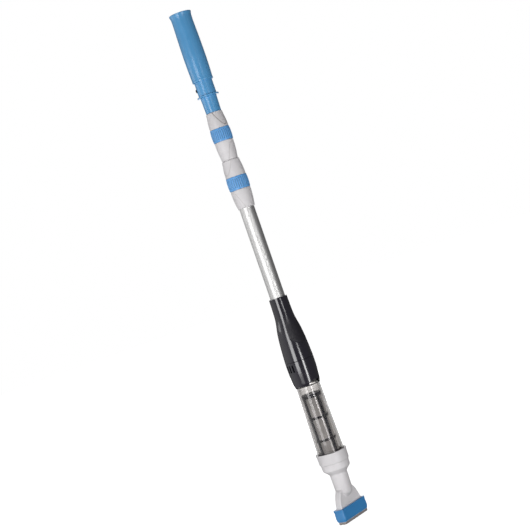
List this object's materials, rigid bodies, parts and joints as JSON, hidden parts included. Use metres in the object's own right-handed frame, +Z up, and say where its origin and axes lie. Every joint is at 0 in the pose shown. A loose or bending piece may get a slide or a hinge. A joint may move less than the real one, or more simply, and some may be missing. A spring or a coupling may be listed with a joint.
{
  "type": "hand-pumped spa vacuum",
  "caption": "Hand-pumped pool and spa vacuum: flat nozzle, clear debris chamber with filter cage, sliding pump housing, telescopic pole with twist locks and blue grip.",
  "frame": {"origin": "centre of the nozzle's mouth, where the tool touches the floor", "axes": "+Z up the pole, X along the mouth's long side, Y across the mouth"},
  "size_m": [0.0768, 0.0586, 0.973],
  "materials": {
    "pale_grey_abs": "satin moulded plastic, very light grey",
    "bumper_blue": "satin flexible blue plastic",
    "ring_blue": "semi-gloss blue plastic, ribbed",
    "grip_blue": "semi-gloss sky blue plastic",
    "gloss_black": "polished black plastic",
    "dark_plastic": "dark moulded plastic",
    "filter_mesh": "fine grey filter mesh",
    "clear_plastic": "clear polished plastic",
    "black_rubber": "black rubber",
    "natural_plastic": "natural white acetal",
    "anodised_aluminium": "drawn and clear anodised",
    "spring_steel": "stainless wire"
  },
  "bodies": {
    "nozzle": {"nozzle_body": "pale_grey_abs", "bumper_frame": "bumper_blue", "collar_ring": "pale_grey_abs", "chamber_seal": "black_rubber", "inlet_seat": "natural_plastic", "flap_pin": "spring_steel", "cage_frame": "dark_plastic", "cage_mesh": "filter_mesh", "cage_lid": "dark_plastic"},
    "flap": {"inlet_flap": "black_rubber"},
    "chamber": {"debris_chamber": "clear_plastic", "chamber_gasket": "black_rubber"},
    "housing": {"vent_skirt": "gloss_black", "pump_body": "gloss_black", "suction_duct": "dark_plastic", "valve_plate": "natural_plastic", "outlet_valve": "black_rubber", "pump_cylinder": "anodised_aluminium", "rod_guide": "dark_plastic"},
    "valve": {"intake_valve": "black_rubber"},
    "pump_rod": {"outer_tube": "anodised_aluminium", "piston": "dark_plastic", "piston_ring": "black_rubber", "lower_lock_body": "pale_grey_abs", "lower_lock_cap": "pale_grey_abs", "lower_collet": "natural_plastic"},
    "lower_ring": {"lower_lock_ring": "ring_blue"},
    "middle_pole": {"middle_tube": "anodised_aluminium", "middle_tube_plug": "dark_plastic", "upper_lock_body": "pale_grey_abs", "upper_lock_cap": "pale_grey_abs", "upper_collet": "natural_plastic"},
    "upper_ring": {"upper_lock_ring": "ring_blue"},
    "handle": {"inner_tube": "anodised_aluminium", "inner_tube_plug": "dark_plastic", "pole_connector": "grip_blue", "handle_core": "grip_blue", "handle_grip": "grip_blue", "grip_cap": "grip_blue", "button_spring": "spring_steel"},
    "button": {"snap_button": "gloss_black"}
  },
  "joints": [
    {"name": "flap_swing", "type": "hinge", "parent": "nozzle", "child": "flap", "pos_m": [0, 0.0124, 0.1106], "axis": [-1, 0, 0], "range_deg": [0, 60]},
    {"name": "chamber_pull", "type": "slide", "parent": "nozzle", "child": "chamber", "axis": [0, 0, 1], "range_m": [0, 0.14]},
    {"name": "housing_twist", "type": "hinge", "parent": "chamber", "child": "housing", "pos_m": [0, 0, 0.26], "axis": [0, 0, 1], "range_deg": [0, 30]},
    {"name": "valve_lift", "type": "slide", "parent": "housing", "child": "valve", "axis": [0, 0, 1], "range_m": [0, 0.002]},
    {"name": "pump_stroke", "type": "slide", "parent": "housing", "child": "pump_rod", "axis": [0, 0, 1], "range_m": [0, 0.072]},
    {"name": "lower_lock_turn", "type": "hinge", "parent": "pump_rod", "child": "lower_ring", "pos_m": [0, 0, 0.6485], "axis": [0, 0, 1], "range_deg": [0, 60]},
    {"name": "lower_extension", "type": "slide", "parent": "pump_rod", "child": "middle_pole", "axis": [0, 0, 1], "range_m": [0, 0.25]},
    {"name": "upper_lock_turn", "type": "hinge", "parent": "middle_pole", "child": "upper_ring", "pos_m": [0, 0, 0.7408], "axis": [0, 0, 1], "range_deg": [0, 60]},
    {"name": "upper_extension", "type": "slide", "parent": "middle_pole", "child": "handle", "axis": [0, 0, 1], "range_m": [0, 0.3]},
    {"name": "button_press", "type": "slide", "parent": "handle", "child": "button", "axis": [0.6691, -0.7431, 0], "range_m": [0, 0.004], "stiffness_N_per_m": 1500, "springref_m": -0.001, "deforming": ["button_spring"]}
  ]
}
